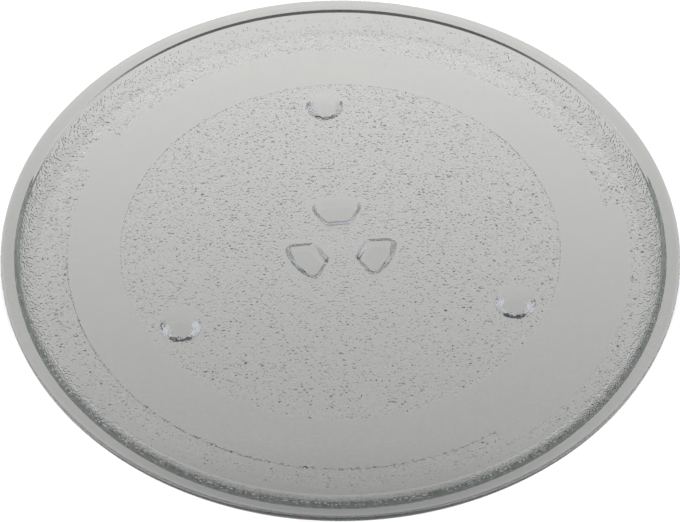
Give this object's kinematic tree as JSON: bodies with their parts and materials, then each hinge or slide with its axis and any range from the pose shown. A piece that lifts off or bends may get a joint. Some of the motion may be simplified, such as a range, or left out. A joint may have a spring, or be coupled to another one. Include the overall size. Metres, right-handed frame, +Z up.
{
  "type": "microwave turntable plate",
  "caption": "Round pressed-glass turntable plate: shallow dish with a flanged rim, and under it a smooth roller track, stub feet and central drive lugs.",
  "frame": {"origin": "on the plate's axis, at the underside of the feet", "axes": "+Z up, out of the dish; +X to the right and +Y away from the viewer, as pictured"},
  "size_m": [0.345, 0.345, 0.0169],
  "materials": {
    "pressed_glass": "clear fire-polished glass, pebbled on the underside"
  },
  "bodies": {
    "root": {"turntable_plate": "pressed_glass"}
  },
  "joints": []
}
